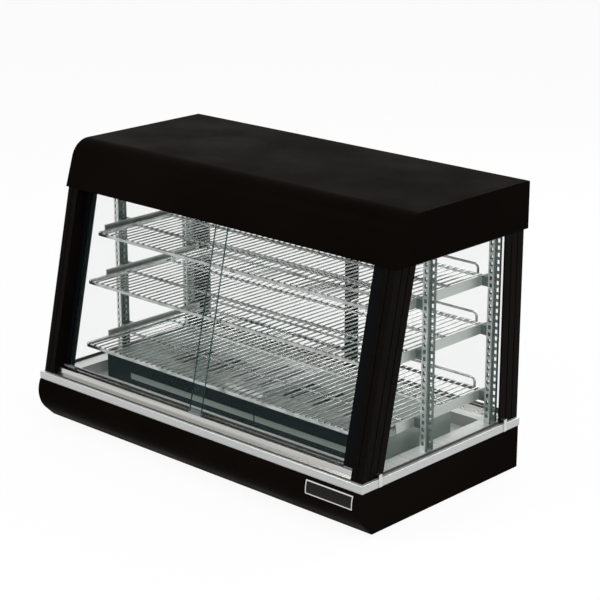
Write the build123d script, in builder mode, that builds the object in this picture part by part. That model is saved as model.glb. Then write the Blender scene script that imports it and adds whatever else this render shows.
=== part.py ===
from build123d import *
from math import cos, radians, sin, sqrt, tan
import os

os.makedirs("parts", exist_ok=True)

# Overall size of the countertop case, in millimetres
case_width = 900.0
deck_depth = 470.0
foot_height = 10.0
base_height = 88.0
band_height = 16.0
glass_height = 384.0
canopy_width = case_width - 2.0
canopy_height = 94.0
canopy_overhang = 6.5
canopy_back = deck_depth + canopy_overhang

# Sheet metal and the gaps between fitted pieces
sheet = 1.2
seat = 0.3

# Nose of the base, an arc seen from the side
nose_bulge = 8.0
nose_radius = 59.0
nose_drop = 26.0
lip_height = 20.0
badge_thickness = 1.0
badge_inset = 131.0
badge_left = case_width / 2 - badge_inset
badge_width = 115.0
badge_height = 27.0
badge_drop = 5.0

# Thermostat knob on the back of the base
knob_diameter = 42.0
knob_height = 18.0
knob_gap = 0.8
shaft_diameter = 6.0
running_fit = 0.05

# Levels above the surface that the case stands on
base_z = foot_height
base_top = base_z + base_height
deck_z = base_top + band_height
canopy_z = deck_z + glass_height
canopy_top = canopy_z + canopy_height
lining_rise = 9.0
lining_z = canopy_z + lining_rise

# Front to back, with the origin midway between the badge and the knob
panel_back = deck_depth - sheet - seat
front_reach = nose_bulge + seat + badge_thickness
back_reach = panel_back + knob_gap + knob_height
front = (front_reach - back_reach) / 2


def depth(distance):
    """Y of a place that lies this far behind the face of the steel band."""
    return front + distance


def slab(u0, u1, v0, v1, mode=Mode.ADD):
    """Rectangle between two opposite corners, in the current sketch."""
    with Locations(((u0 + u1) / 2, (v0 + v1) / 2)):
        Rectangle(u1 - u0, v1 - v0, mode=mode)


def facing_back(y):
    """Upright plane that looks backwards, with its own x running to -X."""
    return Plane(origin=(0, y, 0), x_dir=(-1, 0, 0), z_dir=(0, 1, 0))


def facing_front(y):
    """Upright plane that looks forwards, with its own x running to +X."""
    return Plane(origin=(0, y, 0), x_dir=(1, 0, 0), z_dir=(0, -1, 0))


# Base: nose panel, two end plates, back panel and bottom plate
nose_y = depth(nose_radius - nose_bulge)
nose_z = base_top - nose_drop
lip_z = base_z + lip_height
upright_y = depth(sheet + seat)
upright_top = deck_z - sheet - seat
end_outer = case_width / 2 - sheet - seat
end_inner = end_outer - sheet
bottom_return = 16.0


def nose_arc_y(z):
    """Y of the nose at a height, on its arc."""
    return nose_y - sqrt(nose_radius**2 - (z - nose_z) ** 2)


lip_back = nose_arc_y(lip_z) + lip_height * (nose_z - lip_z) / (nose_y - nose_arc_y(lip_z))


def nose_line():
    """Outside of the base front, from the hidden upright down to the bottom edge."""
    Polyline(
        (upright_y, upright_top),
        (upright_y, base_top),
        (nose_arc_y(base_top), base_top),
    )
    ThreePointArc(
        (nose_arc_y(base_top), base_top),
        (depth(-nose_bulge), nose_z),
        (nose_arc_y(lip_z), lip_z),
    )
    Line((nose_arc_y(lip_z), lip_z), (lip_back, base_z))


with BuildPart() as base_front_panel:
    with BuildSketch(Plane.YZ.offset(-end_inner)):
        with BuildLine():
            nose_line()
            Line((lip_back, base_z), (lip_back + bottom_return, base_z))
            offset(amount=sheet, side=Side.LEFT, kind=Kind.INTERSECTION)
        make_face()
    extrude(amount=2 * end_inner)
base_front_panel.part.label = "base_front_panel"
export_step(base_front_panel.part, "parts/base_front_panel.step")

for side, name in ((-1, "left"), (1, "right")):
    with BuildPart() as base_end:
        with BuildSketch(Plane.YZ.offset(side * end_outer)):
            with BuildLine():
                nose_line()
                Polyline(
                    (lip_back, base_z),
                    (depth(panel_back), base_z),
                    (depth(panel_back), upright_top),
                    (upright_y, upright_top),
                )
            make_face()
        extrude(amount=-side * sheet)
    base_end.part.label = f"base_end_{name}"
    export_step(base_end.part, f"parts/base_end_{name}.step")

# Controls sit in one row on the back panel
control_z = base_z + 0.5 * base_height
controls_inset = 200.0
knob_x = controls_inset - case_width / 2
shaft_hole = shaft_diameter + 1.0
switch_offsets = (100.0, 140.0)
switch_x = [knob_x + offset_x for offset_x in switch_offsets]
switch_names = ("power_switch", "light_switch")
switch_height = 32.0
switch_width = 22.0
gland_inset = 120.0
gland_x = case_width / 2 - gland_inset
gland_diameter = 18.0
screw_diameter = 4.0
screw_head = 7.5
screw_inset = 12.0
screw_columns = (-end_inner + screw_inset, 0.0, end_inner - screw_inset)
screw_rows = (base_z + screw_inset, base_top - screw_inset)
screw_spots = [(x, z) for x in screw_columns for z in screw_rows]

with BuildPart() as base_rear_panel:
    with BuildSketch(facing_back(depth(panel_back))):
        slab(-end_inner, end_inner, base_z, upright_top)
        with Locations((-knob_x, control_z)):
            Circle(shaft_hole / 2, mode=Mode.SUBTRACT)
        with Locations(*[(-x, control_z) for x in switch_x]):
            Rectangle(switch_width, switch_height, mode=Mode.SUBTRACT)
        with Locations((-gland_x, control_z)):
            Circle(gland_diameter / 2, mode=Mode.SUBTRACT)
        with Locations(*[(-x, z) for x, z in screw_spots]):
            Circle(screw_diameter / 2, mode=Mode.SUBTRACT)
    extrude(amount=-sheet)
base_rear_panel.part.label = "base_rear_panel"
export_step(base_rear_panel.part, "parts/base_rear_panel.step")

screw_length = 9.0
screw_dome = 2.4
with BuildPart() as rear_panel_screws:
    with BuildSketch(facing_back(depth(panel_back))):
        with Locations(*[(-x, z) for x, z in screw_spots]):
            Circle(screw_head / 2)
    extrude(amount=screw_dome)
    fillet(rear_panel_screws.edges().filter_by(GeomType.CIRCLE).group_by(Axis.Y)[-1], radius=screw_dome / 2)
    with BuildSketch(facing_back(depth(panel_back))):
        with Locations(*[(-x, z) for x, z in screw_spots]):
            Circle(screw_diameter / 2 - seat / 2)
    extrude(amount=-screw_length)
rear_panel_screws.part.label = "rear_panel_screws"
export_step(rear_panel_screws.part, "parts/rear_panel_screws.step")

plate_front = lip_back + bottom_return + seat
with BuildPart() as base_bottom_plate:
    with BuildSketch(Plane.XY.offset(base_z)):
        slab(-end_inner, end_inner, plate_front, depth(panel_back - sheet))
    extrude(amount=sheet)
base_bottom_plate.part.label = "base_bottom_plate"
export_step(base_bottom_plate.part, "parts/base_bottom_plate.step")

# Four rubber feet, tapered, under the corners of the bottom plate
foot_diameter = 34.0
foot_inset = 70.0
foot_taper = 12.0
foot_y = (plate_front + foot_diameter / 2 + seat, depth(panel_back - foot_inset))
with BuildPart() as feet:
    with BuildSketch(Plane.XY.offset(base_z)):
        with Locations(*[(x, y) for x in (foot_inset - end_outer, end_outer - foot_inset) for y in foot_y]):
            Circle(foot_diameter / 2)
    extrude(amount=-foot_height, taper=foot_taper)
feet.part.label = "feet"
export_step(feet.part, "parts/feet.step")

# Blank nameplate, curved to the nose
badge_top = base_top - badge_drop
with BuildPart() as badge_plate:
    with BuildSketch(Plane.YZ.offset(badge_left)):
        with Locations((nose_y, nose_z)):
            Circle(nose_radius + seat + badge_thickness)
            Circle(nose_radius + seat, mode=Mode.SUBTRACT)
        with Locations((nose_y - nose_radius, badge_top - badge_height / 2)):
            Rectangle(nose_radius, badge_height, mode=Mode.INTERSECT)
    extrude(amount=badge_width)
badge_plate.part.label = "badge_plate"
export_step(badge_plate.part, "parts/badge_plate.step")

# Deck: steel pan whose turned-down rim is the bright band round the base
deck_margin = 50.0
well_half = case_width / 2 - deck_margin
well_front = 62.0
well_inset = 66.0
well_back = deck_depth - well_inset
well_depth = 24.5
band_bottom = base_top + seat
rim_round = 1.0
with BuildPart() as deck_pan:
    with BuildSketch(Plane.XY.offset(band_bottom)):
        slab(-case_width / 2, case_width / 2, depth(0), depth(deck_depth))
    extrude(amount=deck_z - band_bottom)
    fillet(deck_pan.edges().group_by(Axis.Z)[-1], radius=rim_round)
    with BuildSketch(Plane.XY.offset(band_bottom)):
        slab(sheet - case_width / 2, case_width / 2 - sheet, depth(sheet), depth(deck_depth - sheet))
    extrude(amount=deck_z - sheet - band_bottom, mode=Mode.SUBTRACT)
    with BuildSketch(Plane.XY.offset(deck_z - well_depth - sheet)):
        slab(-well_half - sheet, well_half + sheet, depth(well_front - sheet), depth(well_back + sheet))
    extrude(amount=well_depth + sheet / 2)
    with BuildSketch(Plane.XY.offset(deck_z - well_depth)):
        slab(-well_half, well_half, depth(well_front), depth(well_back))
    extrude(amount=well_depth, mode=Mode.SUBTRACT)
deck_pan.part.label = "deck_pan"
export_step(deck_pan.part, "parts/deck_pan.step")

# Corner posts: hollow leaning extrusions at the front, upright angles at the back
post_width = 28.0
post_depth = 56.0
post_setback = 6.6
post_outer = case_width / 2 - post_setback
post_inner = post_outer - post_width
post_wall = 2.0
post_plate = 4.0
post_front = 7.4
post_rear = deck_depth
front_lean = 12.4
groove_width = 3.0
groove_depth = 1.0
glass_thick = 5.0
glass_x = post_outer - post_plate - seat - glass_thick / 2
glass_bite = 8.0
lean = radians(front_lean)


def front_post_section(side):
    """Hollow section with grooves outside and a glazing slot in the edge towards the end glass."""
    Rectangle(post_width, post_depth)
    hollow_low = -post_depth / 2 + post_wall
    hollow_high = post_depth / 2 - glass_bite - post_wall
    with Locations((0, (hollow_low + hollow_high) / 2)):
        Rectangle(post_width - 2 * post_wall, hollow_high - hollow_low, mode=Mode.SUBTRACT)
    with Locations((side * (glass_x - post_outer + post_width / 2), (post_depth - glass_bite) / 2)):
        Rectangle(glass_thick + 2 * seat, glass_bite, mode=Mode.SUBTRACT)
    with Locations(*[(side * post_width / 2, k * post_depth / 6) for k in (-1, 1)]):
        Rectangle(2 * groove_depth, groove_width, mode=Mode.SUBTRACT)
    with Locations((0, -post_depth / 2)):
        Rectangle(groove_width, 2 * groove_depth, mode=Mode.SUBTRACT)


def rear_post_section(side):
    """Angle with its wide leg outside, grooved, and its short leg across the back."""
    with Locations((side * (post_width - post_plate) / 2, 0)):
        Rectangle(post_plate, post_depth)
    with Locations((0, (post_depth - post_plate) / 2)):
        Rectangle(post_width, post_plate)
    with Locations(*[(side * post_width / 2, k * post_depth / 6) for k in (-1, 1)]):
        Rectangle(2 * groove_depth, groove_width, mode=Mode.SUBTRACT)


post_length = (lining_z - deck_z) / cos(lean)
for side, name in ((-1, "left"), (1, "right")):
    post_x = side * (post_outer - post_width / 2)
    front_axis = Plane(
        origin=(
            post_x,
            depth(post_front) + post_depth / 2 * cos(lean),
            deck_z - post_depth / 2 * sin(lean),
        ),
        x_dir=(1, 0, 0),
        z_dir=(0, sin(lean), cos(lean)),
    )
    with BuildPart() as post_front_piece:
        with BuildSketch(front_axis.offset(-post_depth)):
            front_post_section(side)
        extrude(amount=post_length + 2 * post_depth)
        split(bisect_by=Plane.XY.offset(deck_z), keep=Keep.TOP)
        split(bisect_by=Plane.XY.offset(lining_z), keep=Keep.BOTTOM)
    post_front_piece.part.label = f"post_front_{name}"
    export_step(post_front_piece.part, f"parts/post_front_{name}.step")

    rear_axis = Plane.XY.offset(deck_z).shift_origin((post_x, depth(post_rear - post_depth / 2), deck_z))
    with BuildPart() as post_rear_piece:
        with BuildSketch(rear_axis):
            rear_post_section(side)
        extrude(amount=lining_z - deck_z)
    post_rear_piece.part.label = f"post_rear_{name}"
    export_step(post_rear_piece.part, f"parts/post_rear_{name}.step")

# End glass, in the glazing slot of the front post and behind the wide leg of the rear one
rear_lap_depth = 12.0
glass_front_foot = depth(post_front) + (post_depth - glass_bite + seat) / cos(lean)
glass_rear_edge = depth(post_rear - post_depth + rear_lap_depth)
glass_top = lining_z - seat


def lean_y(y_at_deck, z):
    """Y at a height, on a plane that leans back like the front posts."""
    return y_at_deck + (z - deck_z) * tan(lean)


for side, name in ((-1, "left"), (1, "right")):
    with BuildPart() as end_glass:
        with BuildSketch(Plane.YZ.offset(side * glass_x - glass_thick / 2)):
            with BuildLine():
                Polyline(
                    (glass_front_foot, deck_z),
                    (glass_rear_edge, deck_z),
                    (glass_rear_edge, glass_top),
                    (lean_y(glass_front_foot, glass_top), glass_top),
                    close=True,
                )
            make_face()
        extrude(amount=glass_thick)
    end_glass.part.label = f"end_glass_{name}"
    export_step(end_glass.part, f"parts/end_glass_{name}.step")

# Small steel clips over the band, against the foot of each post
clip_width = 9.0
clip_rise = 9.0
clip_inset = 47.0
clip_y = (50.0, deck_depth - clip_inset)
with BuildPart() as band_clips:
    for side in (-1, 1):
        for y in clip_y:
            with BuildSketch(Plane.XZ.offset(-depth(y - clip_width / 2))):
                slab_low = side * (case_width / 2)
                slab_out = side * (case_width / 2 + sheet)
                slab(min(slab_low, slab_out), max(slab_low, slab_out), band_bottom, deck_z + clip_rise)
                arm = side * post_outer
                slab(min(arm, slab_out), max(arm, slab_out), deck_z + clip_rise - sheet, deck_z + clip_rise)
            extrude(amount=-clip_width)
band_clips.part.label = "band_clips"
export_step(band_clips.part, "parts/band_clips.step")

# Sliding glass and its tracks; the two panes of a pair run one behind the other
pane_thick = 4.0
outer_setback = 18.0
pane_pitch = 12.0
fin = 2.0
fin_height = 10.0
track_base = 2.0
track_depth = 48.0
track_half = post_inner - seat
rear_track_half = post_outer - post_plate - seat
rear_track_depth = 36.0
top_fin_height = 8.0
setbacks = (outer_setback, outer_setback + pane_pitch)
fin_setbacks = [outer_setback + (k - 0.5) * pane_pitch for k in range(3)]
rear_face = depth(post_rear)
rear_back = rear_face - post_plate - seat


def front_pane_y(setback, z):
    """Y of a plane that lies behind the leaning face of the front posts."""
    return lean_y(depth(post_front) + setback / cos(lean), z)


def leaning_fin(setback, low, high):
    """Section of a track fin that follows the front panes."""
    Polygon(
        (front_pane_y(setback - fin / 2, low), low),
        (front_pane_y(setback + fin / 2, low), low),
        (front_pane_y(setback + fin / 2, high), high),
        (front_pane_y(setback - fin / 2, high), high),
        align=None,
    )


sill_floor = deck_z + track_base
head_floor = lining_z - track_base
with BuildPart() as front_sill_track:
    with BuildSketch(Plane.YZ.offset(-track_half)):
        slab(depth(post_front), depth(post_front) + track_depth, deck_z, sill_floor)
        for setback in fin_setbacks:
            leaning_fin(setback, sill_floor, sill_floor + fin_height)
    extrude(amount=2 * track_half)
front_sill_track.part.label = "front_sill_track"
export_step(front_sill_track.part, "parts/front_sill_track.step")

with BuildPart() as front_top_track:
    with BuildSketch(Plane.YZ.offset(-track_half)):
        slab(
            front_pane_y(fin_setbacks[0] - fin, lining_z),
            front_pane_y(fin_setbacks[-1] + fin, lining_z),
            head_floor,
            lining_z,
        )
        for setback in fin_setbacks:
            leaning_fin(setback, head_floor - top_fin_height, head_floor)
    extrude(amount=2 * track_half)
front_top_track.part.label = "front_top_track"
export_step(front_top_track.part, "parts/front_top_track.step")

with BuildPart() as rear_sill_track:
    with BuildSketch(Plane.YZ.offset(-rear_track_half)):
        slab(rear_back - rear_track_depth, rear_back, deck_z, sill_floor)
        for setback in fin_setbacks:
            y = rear_face - setback
            slab(y - fin / 2, y + fin / 2, sill_floor, sill_floor + fin_height)
    extrude(amount=2 * rear_track_half)
rear_sill_track.part.label = "rear_sill_track"
export_step(rear_sill_track.part, "parts/rear_sill_track.step")

with BuildPart() as rear_top_track:
    with BuildSketch(Plane.YZ.offset(-rear_track_half)):
        slab(
            rear_face - fin_setbacks[-1] - fin,
            rear_face - fin_setbacks[0] + fin,
            head_floor,
            lining_z,
        )
        for setback in fin_setbacks:
            y = rear_face - setback
            slab(y - fin / 2, y + fin / 2, head_floor - top_fin_height, head_floor)
    extrude(amount=2 * rear_track_half)
rear_top_track.part.label = "rear_top_track"
export_step(rear_top_track.part, "parts/rear_top_track.step")

# Each pane: glass, a black profile along one upright edge, and two shoes in the sill groove
front_left_handle_width = 14.0
front_right_handle_width = 32.0
rear_handle_width = 25.0
handle_depth = 10.0
handle_solid = 4.0
shoe_length = 32.0
shoe_thick = 7.0
shoe_height = 12.0
shoe_floor = 3.0
door_side = post_inner - seat
rear_door_side = rear_track_half
front_lap = (-25.0, -4.0)
rear_lap = (24.0, 34.0)


def front_door_plane(setback):
    """Mid plane of a front pane; its own y runs up the slope from the deck."""
    return Plane(
        origin=(0, front_pane_y(setback, deck_z), deck_z),
        x_dir=(1, 0, 0),
        z_dir=(0, -cos(lean), sin(lean)),
    )


def rear_door_plane(setback):
    """Mid plane of a rear pane; its own x runs to +X and its y runs up from the deck."""
    return facing_front(rear_face - setback).shift_origin((0, rear_face - setback, deck_z))


doors = (
    ("front_door_left", front_door_plane(setbacks[1]), lean, -door_side, front_lap[1], -1, front_left_handle_width),
    ("front_door_right", front_door_plane(setbacks[0]), lean, front_lap[0], door_side, 1, front_right_handle_width),
    ("rear_door_left", rear_door_plane(setbacks[0]), 0.0, -rear_door_side, rear_lap[1], 1, rear_handle_width),
    ("rear_door_right", rear_door_plane(setbacks[1]), 0.0, rear_lap[0], rear_door_side, -1, rear_handle_width),
)
for name, plane, tilt, x0, x1, handle_side, handle_width in doors:
    shoe_low = (track_base + seat) / cos(tilt) + shoe_thick / 2 * tan(tilt)
    shoe_high = shoe_low + shoe_height
    pane_low = shoe_low + shoe_floor
    pane_high = (head_floor - deck_z - pane_thick / 2) / cos(tilt)
    handle_high = (head_floor - top_fin_height - deck_z - 2 * seat) / cos(tilt) - handle_depth / 2 * tan(tilt)
    edge = x1 if handle_side > 0 else x0
    inward = edge - handle_side * handle_width
    glass_x0 = x0 + handle_solid if handle_side < 0 else x0
    glass_x1 = x1 - handle_solid if handle_side > 0 else x1
    with BuildPart() as pane:
        with BuildSketch(plane):
            slab(glass_x0, glass_x1, pane_low, pane_high)
        extrude(amount=pane_thick / 2, both=True)
    pane.part.label = f"{name}_glass"
    export_step(pane.part, f"parts/{name}_glass.step")

    with BuildPart() as handle:
        with BuildSketch(plane):
            slab(min(edge, inward), max(edge, inward), shoe_high, handle_high)
            for shoe_x in (x0, x1 - shoe_length):
                slab(shoe_x, shoe_x + shoe_length, shoe_low, shoe_high - seat)
        extrude(amount=shoe_thick / 2, both=True)
        with BuildSketch(plane):
            slab(min(edge, inward), max(edge, inward), shoe_high, handle_high)
        extrude(amount=handle_depth / 2, both=True)
        with BuildSketch(plane):
            slab(glass_x0, glass_x1, pane_low, pane_high)
        extrude(amount=pane_thick / 2, both=True, mode=Mode.SUBTRACT)
    handle.part.label = f"{name}_handle"
    export_step(handle.part, f"parts/{name}_handle.step")

# Pilasters, slotted on their web and flanges, that carry the shelf brackets
pilaster_reach = 26.9
pilaster_inner = post_outer - pilaster_reach
pilaster_width = 13.5
pilaster_depth = 23.0
pilaster_wall = 1.5
pilaster_lip = 5.0
pilaster_inset = 72.0
pilaster_y = {"front": 202.0, "rear": deck_depth - pilaster_inset}
slot_height = 8.0
slot_width = 8.0
flange_slot_width = 6.0
slot_pitch = 14.0
slot_count = 26
slot_start = 16.0
for side, side_name in ((-1, "left"), (1, "right")):
    for row_name, y in pilaster_y.items():
        mid_x = side * (pilaster_inner + pilaster_width / 2)
        mid_y = depth(y + pilaster_depth / 2)
        run = slot_pitch * (slot_count - 1)
        slot_z = deck_z + slot_start + run / 2
        with BuildPart() as pilaster:
            with BuildSketch(Plane.XY.offset(deck_z)):
                with Locations((mid_x, mid_y)):
                    Rectangle(pilaster_width, pilaster_depth)
                    Rectangle(
                        pilaster_width - 2 * pilaster_wall,
                        pilaster_depth - 2 * pilaster_wall,
                        mode=Mode.SUBTRACT,
                    )
                with Locations((side * (pilaster_inner + pilaster_width), mid_y)):
                    Rectangle(4 * pilaster_wall, pilaster_depth - 2 * pilaster_lip, mode=Mode.SUBTRACT)
            extrude(amount=lining_z - deck_z)
            with BuildSketch(Plane.YZ.offset(side * pilaster_inner - pilaster_wall * 2)):
                with Locations((mid_y, slot_z)):
                    with GridLocations(1, slot_pitch, 1, slot_count):
                        Rectangle(slot_width, slot_height)
            extrude(amount=4 * pilaster_wall, mode=Mode.SUBTRACT)
            with BuildSketch(facing_front(depth(y - pilaster_wall))):
                with Locations((mid_x, slot_z)):
                    with GridLocations(1, slot_pitch, 1, slot_count):
                        Rectangle(flange_slot_width, slot_height)
            extrude(amount=-pilaster_depth - 2 * pilaster_wall, mode=Mode.SUBTRACT)
        pilaster.part.label = f"pilaster_{row_name}_{side_name}"
        export_step(pilaster.part, f"parts/pilaster_{row_name}_{side_name}.step")

# Three wire shelves, each with a raised wire stop at the back and a bracket at each end
shelf_clear = 24.5
shelf_half = pilaster_inner - shelf_clear
shelf_inset = 43.0
shelf_back = deck_depth - shelf_inset
shelf_levels = {"top": 292.5, "middle": 194.5, "bottom": 59.5}
shelf_fronts = {"top": 117.0, "middle": 87.0, "bottom": 75.0}
rod = 6.0
wire = 3.0
wire_sink = 0.6
wire_count = 49
cross_rods = 2
rod_corner = 12.0
stop_rise = 16.0
stop_rod = 5.0
stop_corner = 9.0
bracket_thick = 2.0
bracket_height = 19.5
bracket_rise = 5.0
bracket_ledge = 17.0
bracket_gap = 8.0
bracket_front = 150.0
hook_width = 24.0
for level, rise in shelf_levels.items():
    wire_top = deck_z + rise
    rod_z = wire_top - wire - rod / 2 + wire_sink
    y0 = depth(shelf_fronts[level])
    y1 = depth(shelf_back)
    mid = (y0 + y1) / 2
    with BuildPart() as shelf:
        with BuildSketch(Plane.XY.offset(rod_z - rod / 2)):
            with Locations((0, mid)):
                RectangleRounded(2 * shelf_half, y1 - y0, rod_corner)
                RectangleRounded(
                    2 * (shelf_half - rod),
                    y1 - y0 - 2 * rod,
                    rod_corner - rod,
                    mode=Mode.SUBTRACT,
                )
        extrude(amount=rod)
        with BuildSketch(Plane.YZ.offset(rod - shelf_half)):
            for k in range(cross_rods):
                with Locations((y0 + (k + 1) * (y1 - y0) / (cross_rods + 1), rod_z)):
                    Circle(rod / 2)
        extrude(amount=2 * (shelf_half - rod))
        wire_span = 2 * (shelf_half - rod_corner)
        with BuildSketch(facing_back(y0 + rod / 2)):
            with Locations((0, wire_top - wire / 2)):
                with GridLocations(wire_span / (wire_count - 1), 1, wire_count, 1):
                    Circle(wire / 2)
        extrude(amount=y1 - y0 - rod)
    shelf.part.label = f"shelf_{level}"
    export_step(shelf.part, f"parts/shelf_{level}.step")

    stop_y = y1 - rod / 2
    stop_x = (wire_span - wire_span / (wire_count - 1)) / 2
    stop_foot = rod_z + rod / 2
    stop_z = wire_top + stop_rise
    with BuildPart() as stop:
        with BuildLine(facing_back(stop_y)) as stop_line:
            FilletPolyline(
                (-stop_x, stop_foot),
                (-stop_x, stop_z),
                (stop_x, stop_z),
                (stop_x, stop_foot),
                radius=stop_corner,
            )
        with BuildSketch(Plane(origin=(stop_x, stop_y, stop_foot), z_dir=(0, 0, 1))):
            Circle(stop_rod / 2)
        sweep(path=stop_line.line)
    stop.part.label = f"shelf_stop_{level}"
    export_step(stop.part, f"parts/shelf_stop_{level}.step")

    ledge_top = rod_z - rod / 2
    arm_low = wire_top + bracket_rise - bracket_height
    for side, side_name in ((-1, "left"), (1, "right")):
        with BuildPart() as bracket:
            with BuildSketch(Plane.XZ.offset(-depth(bracket_front))):
                wall = side * (shelf_half + bracket_gap)
                wall_out = wall + side * bracket_thick
                ledge = wall_out - side * bracket_ledge
                slab(min(wall, wall_out), max(wall, wall_out), arm_low, arm_low + bracket_height)
                slab(min(ledge, wall_out), max(ledge, wall_out), ledge_top - bracket_thick, ledge_top)
            extrude(amount=-(y1 - rod_corner - depth(bracket_front)))
            hooks = [depth(y + pilaster_depth / 2) for y in pilaster_y.values()]
            with BuildSketch(Plane.YZ.offset(wall_out)):
                with Locations(*[(y, arm_low + bracket_height / 2) for y in hooks]):
                    Rectangle(hook_width, bracket_height)
            extrude(amount=side * (pilaster_inner - shelf_half - bracket_gap - bracket_thick))
        bracket.part.label = f"shelf_bracket_{level}_{side_name}"
        export_step(bracket.part, f"parts/shelf_bracket_{level}_{side_name}.step")

# Heater cover: a long steel box in the well, with strips on its front and the tray in its top
cover_clear = 28.0
cover_half = well_half - cover_clear
cover_front = 121.0
cover_inset = 119.0
cover_back = deck_depth - cover_inset
cover_rise = 26.0
tray_half = 48.0
tray_front = 156.0
tray_inset = 17.0
tray_back = cover_back - tray_inset
tray_deep = 22.0
tray_rim = 7.0
tray_wall = 1.0
vent_width = 8.0
vent_length = 92.0
vent_pitch = 20.0
vent_count = 5
vent_strips = ((-298.0, 60.0), (64.0, 330.0))
strip_thick = 1.5
strip_low = deck_z - 11.5
strip_height = 12.0
well_floor = deck_z - well_depth
cover_top = deck_z + cover_rise
cover_mid = depth((cover_front + cover_back) / 2)
tray_mid = depth((tray_front + tray_back) / 2)
with BuildPart() as heater_cover:
    with BuildSketch(Plane.XY.offset(well_floor)):
        slab(-cover_half, cover_half, depth(cover_front), depth(cover_back))
    extrude(amount=cover_top - well_floor)
    with BuildSketch(Plane.XY.offset(well_floor)):
        slab(sheet - cover_half, cover_half - sheet, depth(cover_front + sheet), depth(cover_back - sheet))
    extrude(amount=cover_top - sheet - well_floor, mode=Mode.SUBTRACT)
    with BuildSketch(Plane.XY.offset(cover_top)):
        slab(-tray_half - seat, tray_half + seat, depth(tray_front) - seat, depth(tray_back) + seat)
        vent_run = vent_pitch * (vent_count - 1)
        vent_x = tray_half + tray_rim + vent_pitch + vent_run / 2
        for x in (-vent_x, vent_x, -vent_x - vent_run - 2 * vent_pitch, vent_x + vent_run + 2 * vent_pitch):
            with Locations((x, cover_mid)):
                with GridLocations(vent_pitch, 1, vent_count, 1):
                    SlotOverall(vent_length, vent_width, rotation=90)
    extrude(amount=-2 * sheet, mode=Mode.SUBTRACT)
    with BuildSketch(facing_front(depth(cover_front))):
        for strip_x0, strip_x1 in vent_strips:
            slab(strip_x0, strip_x1, strip_low, strip_low + strip_height)
    extrude(amount=strip_thick)
heater_cover.part.label = "heater_cover"
export_step(heater_cover.part, "parts/heater_cover.step")

with BuildPart() as water_tray:
    with BuildSketch(Plane.XY.offset(cover_top)):
        slab(
            -tray_half - tray_rim,
            tray_half + tray_rim,
            depth(tray_front - tray_rim),
            depth(tray_back + tray_rim),
        )
    extrude(amount=tray_wall)
    with BuildSketch(Plane.XY.offset(cover_top)):
        slab(-tray_half, tray_half, depth(tray_front), depth(tray_back))
    extrude(amount=-tray_deep)
    with BuildSketch(Plane.XY.offset(cover_top + tray_wall)):
        slab(
            tray_wall - tray_half,
            tray_half - tray_wall,
            depth(tray_front + tray_wall),
            depth(tray_back - tray_wall),
        )
    extrude(amount=-tray_deep, mode=Mode.SUBTRACT)
water_tray.part.label = "water_tray"
export_step(water_tray.part, "parts/water_tray.step")

lid_height = 7.0
lid_slots = 7
lid_slot_width = 6.0
lid_slot_length = 132.0
lid_slot_pitch = 11.5
lid_low = cover_top + tray_wall
with BuildPart() as tray_lid:
    with BuildSketch(Plane.XY.offset(lid_low)):
        slab(-tray_half - tray_rim / 2, tray_half + tray_rim / 2, depth(tray_front), depth(tray_back))
    extrude(amount=lid_height)
    with BuildSketch(Plane.XY.offset(lid_low)):
        slab(
            tray_wall - tray_half - tray_rim / 2,
            tray_half + tray_rim / 2 - tray_wall,
            depth(tray_front + tray_wall),
            depth(tray_back - tray_wall),
        )
    extrude(amount=lid_height - tray_wall, mode=Mode.SUBTRACT)
    with BuildSketch(Plane.XY.offset(lid_low + lid_height)):
        with Locations((0, tray_mid)):
            with GridLocations(lid_slot_pitch, 1, lid_slots, 1):
                SlotOverall(lid_slot_length, lid_slot_width, rotation=90)
    extrude(amount=-2 * tray_wall, mode=Mode.SUBTRACT)
tray_lid.part.label = "tray_lid"
export_step(tray_lid.part, "parts/tray_lid.step")

# Two tubular heating elements, one each side of the tray, on the floor of the well
element_diameter = 8.0
element_rise = 22.0
element_bend = 13.0
element_gap = 40.0
element_inset = 45.0
element_y = (cover_front + element_inset, cover_back - element_inset)
element_x0 = tray_half + element_gap
element_x1 = cover_half - element_gap
element_z = well_floor + element_rise
with BuildPart() as heating_elements:
    for side in (-1, 1):
        with BuildLine() as element_line:
            FilletPolyline(
                (side * element_x0, depth(element_y[0]), well_floor),
                (side * element_x0, depth(element_y[0]), element_z),
                (side * element_x1, depth(element_y[0]), element_z),
                (side * element_x1, depth(element_y[1]), element_z),
                (side * element_x0, depth(element_y[1]), element_z),
                (side * element_x0, depth(element_y[1]), well_floor),
                radius=element_bend,
            )
        with BuildSketch(Plane(origin=(side * element_x0, depth(element_y[0]), well_floor), z_dir=(0, 0, 1))):
            Circle(element_diameter / 2)
        sweep(path=element_line.line)
heating_elements.part.label = "heating_elements"
export_step(heating_elements.part, "parts/heating_elements.step")

# Canopy: one bent sheet over two end plates, with a bright lining and the lamp under it
canopy_front = 89.2
canopy_slope = 17.5
canopy_bend = 46.0
canopy_rear_bend = 4.0
canopy_outer = canopy_width / 2
fascia_top = canopy_front + canopy_height * tan(radians(canopy_slope))


def canopy_line():
    """Outside of the canopy seen from the end, open at the bottom."""
    FilletPolyline(
        (depth(canopy_front), canopy_z),
        (depth(fascia_top), canopy_top),
        (depth(canopy_back), canopy_top),
        (depth(canopy_back), canopy_z),
        radius=(canopy_bend, canopy_rear_bend),
    )


with BuildPart() as canopy_shell:
    with BuildSketch(Plane.YZ.offset(sheet - canopy_outer)):
        with BuildLine():
            canopy_line()
            offset(amount=sheet, side=Side.RIGHT)
        make_face()
    extrude(amount=2 * (canopy_outer - sheet))
    split(bisect_by=Plane.XY.offset(canopy_z), keep=Keep.TOP)
canopy_shell.part.label = "canopy_shell"
export_step(canopy_shell.part, "parts/canopy_shell.step")

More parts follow.
